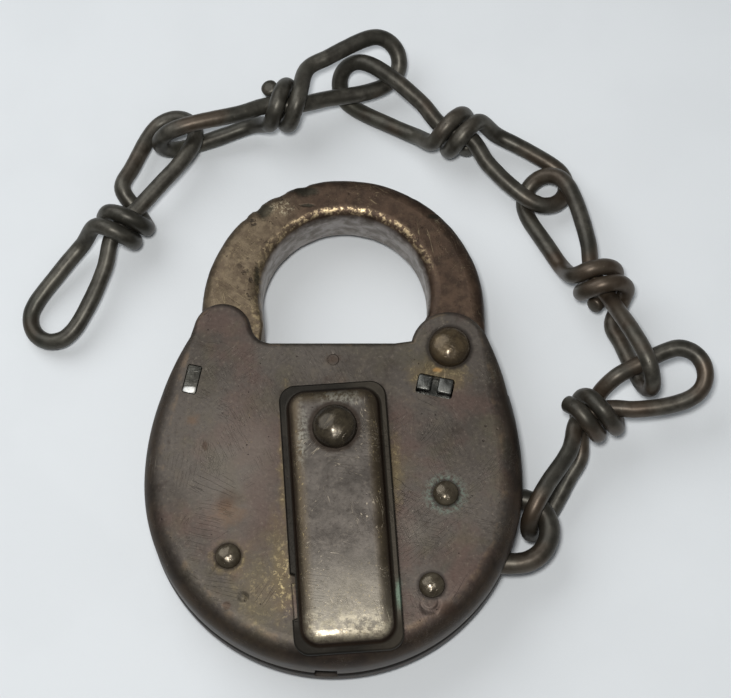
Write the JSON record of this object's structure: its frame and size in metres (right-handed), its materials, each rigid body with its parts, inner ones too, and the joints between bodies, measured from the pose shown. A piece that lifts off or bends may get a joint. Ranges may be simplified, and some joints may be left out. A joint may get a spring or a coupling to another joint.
{
  "type": "padlock",
  "caption": "Old riveted brass padlock with a bow shackle hinged at its heel, a swinging keyhole drop, a lever mechanism and a chain of knotted wire links on a side staple.",
  "frame": {"origin": "on the flat back of the case, at the centre of its round lower part", "axes": "+Z out of the front face, +Y towards the shackle, +X to the side the chain is on"},
  "size_m": [0.1322, 0.1288, 0.0256],
  "materials": {
    "case_brass": "dark purple-brown patina over worn brass",
    "drop_brass": "brown patina rubbed to grey-tan metal on the raised face",
    "shackle_bronze": "red-brown and olive-tan patina, worn bright on its edge",
    "rivet_bronze": "brown patina, rubbed on the crown",
    "chain_bronze": "dark olive-brown patina, satin",
    "lever_brass": "plain satin brass",
    "mechanism_steel": "dark oiled steel",
    "spring_steel": "blued spring steel"
  },
  "bodies": {
    "lock_body": {"front_case": "case_brass", "back_case": "case_brass", "heel_rivet": "rivet_bronze", "drop_rivet": "rivet_bronze", "drop_washer": "drop_brass", "case_rivet_left": "rivet_bronze", "lever_pivot_rivet": "rivet_bronze", "case_rivet_lower": "rivet_bronze", "guide_pin": "mechanism_steel", "key_post": "mechanism_steel", "toe_guide": "mechanism_steel", "heel_block": "mechanism_steel", "bolt_spring": "spring_steel", "lever_spring_1": "spring_steel", "lever_spring_2": "spring_steel", "lever_spring_3": "spring_steel", "lever_spring_4": "spring_steel", "chain_staple": "chain_bronze"},
    "shackle": {"shackle": "shackle_bronze"},
    "keyhole_drop": {"keyhole_drop": "drop_brass"},
    "bolt": {"bolt": "mechanism_steel"},
    "lever_1": {"lever_1": "lever_brass"},
    "lever_2": {"lever_2": "lever_brass"},
    "lever_3": {"lever_3": "lever_brass"},
    "lever_4": {"lever_4": "lever_brass"},
    "chain_link_1": {"chain_link_1": "chain_bronze"},
    "chain_link_2": {"chain_link_2": "chain_bronze"},
    "chain_link_3": {"chain_link_3": "chain_bronze"},
    "chain_link_4": {"chain_link_4": "chain_bronze"},
    "chain_link_5": {"chain_link_5": "chain_bronze"}
  },
  "joints": [
    {"name": "shackle_swing", "type": "hinge", "parent": "lock_body", "child": "shackle", "pos_m": [0.0216, 0.02475, 0.009], "axis": [0, 0, -1], "range_deg": [0, 95]},
    {"name": "drop_swing", "type": "hinge", "parent": "lock_body", "child": "keyhole_drop", "pos_m": [0.0003, 0.00785, 0.021], "axis": [0, 0, 1], "range_deg": [0, 90]},
    {"name": "bolt_slide", "type": "slide", "parent": "lock_body", "child": "bolt", "axis": [-1, 0, 0], "range_m": [0, 0.0045], "stiffness_N_per_m": 300, "springref_m": -0.002, "deforming": ["bolt_spring"]},
    {"name": "lever_1_lift", "type": "hinge", "parent": "lock_body", "child": "lever_1", "pos_m": [0.0206, -0.0034, 0.0059], "axis": [0, 0, 1], "range_deg": [-2, 2], "stiffness_Nm_per_rad": 0.05, "deforming": ["lever_spring_1"]},
    {"name": "lever_2_lift", "type": "hinge", "parent": "lock_body", "child": "lever_2", "pos_m": [0.0206, -0.0034, 0.0077], "axis": [0, 0, 1], "range_deg": [-2, 2], "stiffness_Nm_per_rad": 0.05, "deforming": ["lever_spring_2"]},
    {"name": "lever_3_lift", "type": "hinge", "parent": "lock_body", "child": "lever_3", "pos_m": [0.0206, -0.0034, 0.0095], "axis": [0, 0, 1], "range_deg": [-2, 2], "stiffness_Nm_per_rad": 0.05, "deforming": ["lever_spring_3"]},
    {"name": "lever_4_lift", "type": "hinge", "parent": "lock_body", "child": "lever_4", "pos_m": [0.0206, -0.0034, 0.0113], "axis": [0, 0, 1], "range_deg": [-2, 2], "stiffness_Nm_per_rad": 0.05, "deforming": ["lever_spring_4"]},
    {"name": "chain_swing_1", "type": "hinge", "parent": "lock_body", "child": "chain_link_1", "pos_m": [0.0339, -0.0082, 0.009], "axis": [0, 0, -1], "range_deg": [-4, 12]},
    {"name": "chain_swing_2", "type": "hinge", "parent": "chain_link_1", "child": "chain_link_2", "pos_m": [0.0615, 0.02, 0.007], "axis": [0, 0, -1], "range_deg": [0, 52.25]},
    {"name": "chain_swing_3", "type": "hinge", "parent": "chain_link_2", "child": "chain_link_3", "pos_m": [0.041, 0.06, 0.007], "axis": [0, 0, -1], "range_deg": [-4, 18]},
    {"name": "chain_swing_4", "type": "hinge", "parent": "chain_link_3", "child": "chain_link_4", "pos_m": [0.007, 0.081, 0.007], "axis": [0, 0, -1], "range_deg": [-5, 20]},
    {"name": "chain_swing_5", "type": "hinge", "parent": "chain_link_4", "child": "chain_link_5", "pos_m": [-0.0315, 0.0685, 0.007], "axis": [0, 0, -1], "range_deg": [-8, 20]}
  ],
  "couplings": [
    {"joint": "chain_swing_2", "follows": "shackle_swing", "ratio": 0.55}
  ]
}
